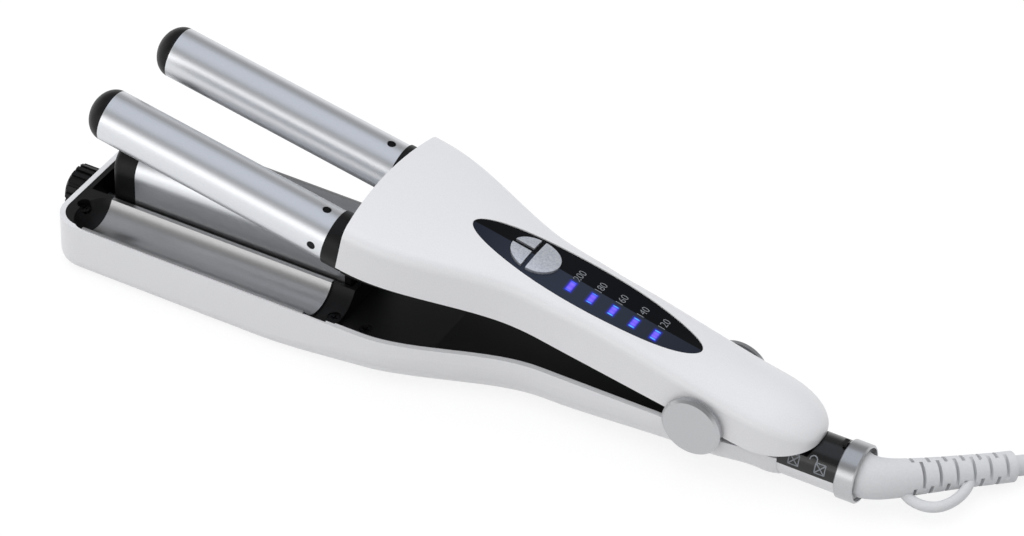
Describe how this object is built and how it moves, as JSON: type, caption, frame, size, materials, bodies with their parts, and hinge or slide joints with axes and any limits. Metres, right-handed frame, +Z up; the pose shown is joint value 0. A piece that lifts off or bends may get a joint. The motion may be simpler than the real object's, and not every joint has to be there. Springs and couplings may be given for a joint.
{
  "type": "wave styler tongs",
  "caption": "Hair waving tongs with heated barrels over troughs, a lifting middle barrel with a side dial, a button panel, a sliding lock ring and a swivel cord.",
  "frame": {"origin": "on the resting surface, under the middle of the tool without its cord", "axes": "+X from the barrel tips towards the cord, +Z up, the dial on the -X end"},
  "size_m": [0.4853, 0.1072, 0.0764],
  "materials": {
    "pearl_white": "pearl satin gloss",
    "black_plastic": "fine matt",
    "satin_aluminium": "satin anodised",
    "gloss_black": "polished, dark navy",
    "silver_plastic": "silver lacquer",
    "blue_light": "lit from below",
    "steel": "satin",
    "black_steel": "black oxide",
    "ceramic": "unglazed",
    "circuit_green": "solder mask",
    "brass": "bright",
    "white_rubber": "soft matt"
  },
  "bodies": {
    "lower_arm": {"lower_shell": "pearl_white", "lower_liner": "black_plastic", "liner_screws": "steel", "trough_plate_near": "satin_aluminium", "trough_plate_far": "satin_aluminium", "trough_heater_near": "ceramic", "trough_heater_far": "ceramic", "pivot_pin": "steel", "pivot_disc_near": "satin_aluminium", "pivot_disc_far": "satin_aluminium", "opening_spring": "steel", "tail_neck": "black_plastic", "strain_relief": "white_rubber", "cord": "white_rubber", "cord_coil": "white_rubber", "plug_cord": "white_rubber", "plug_body": "white_rubber", "plug_pins": "steel"},
    "upper_arm": {"upper_cover": "pearl_white", "inner_cover": "black_plastic", "barrel_near": "satin_aluminium", "barrel_far": "satin_aluminium", "barrel_cap_near": "black_plastic", "barrel_cap_far": "black_plastic", "barrel_collar_near": "black_plastic", "barrel_collar_far": "black_plastic", "barrel_heater_near": "ceramic", "barrel_heater_far": "ceramic", "barrel_screws": "black_steel", "control_lens": "gloss_black", "light_bars": "blue_light", "circuit_board": "circuit_green", "button_switches": "black_plastic", "thermal_fuse": "ceramic"},
    "power_button_body": {"power_button": "silver_plastic"},
    "plus_button_body": {"plus_button": "silver_plastic"},
    "minus_button_body": {"minus_button": "silver_plastic"},
    "dial": {"dial_knob": "black_plastic", "lift_screw": "steel"},
    "wedge": {"lift_wedge": "black_plastic"},
    "lifting_barrel": {"middle_barrel": "satin_aluminium", "middle_cap_front": "black_plastic", "middle_cap_rear": "black_plastic", "middle_ramp": "black_plastic", "middle_heater": "ceramic"},
    "lock": {"lock_ring": "satin_aluminium", "lock_tab": "black_plastic"},
    "swivel": {"swivel_bush": "black_plastic", "slip_contacts": "brass"}
  },
  "joints": [
    {"name": "arm_hinge", "type": "hinge", "parent": "lower_arm", "child": "upper_arm", "pos_m": [0.1017, 0, 0.022], "axis": [0, -1, 0], "range_deg": [0, 10.4], "stiffness_Nm_per_rad": 1.5, "springref_deg": -20.05},
    {"name": "power_press", "type": "slide", "parent": "upper_arm", "child": "power_button_body", "axis": [-0.1805, 0, -0.9836], "range_m": [0, 0.0006], "stiffness_N_per_m": 400},
    {"name": "plus_press", "type": "slide", "parent": "upper_arm", "child": "plus_button_body", "axis": [-0.1805, 0, -0.9836], "range_m": [0, 0.0006], "stiffness_N_per_m": 400},
    {"name": "minus_press", "type": "slide", "parent": "upper_arm", "child": "minus_button_body", "axis": [-0.1805, 0, -0.9836], "range_m": [0, 0.0006], "stiffness_N_per_m": 400},
    {"name": "dial_turn", "type": "hinge", "parent": "lower_arm", "child": "dial", "pos_m": [-0.1483, 0, 0.0092], "axis": [1, 0, 0], "range_deg": [0, 270]},
    {"name": "wedge_slide", "type": "slide", "parent": "lower_arm", "child": "wedge", "axis": [1, 0, 0], "range_m": [0, 0.016]},
    {"name": "barrel_lower", "type": "slide", "parent": "lower_arm", "child": "lifting_barrel", "axis": [0, 0, -1], "range_m": [0, 0.008]},
    {"name": "lock_slide", "type": "slide", "parent": "lower_arm", "child": "lock", "axis": [-1, 0, 0], "range_m": [0, 0.007]},
    {"name": "cord_swivel", "type": "hinge", "parent": "lower_arm", "child": "swivel", "pos_m": [0.1573, 0, 0.0126], "axis": [1, 0, 0], "continuous": true}
  ],
  "couplings": [
    {"joint": "wedge_slide", "follows": "barrel_lower", "ratio": 2},
    {"joint": "dial_turn", "follows": "barrel_lower", "rad_per_m": 589.04}
  ]
}
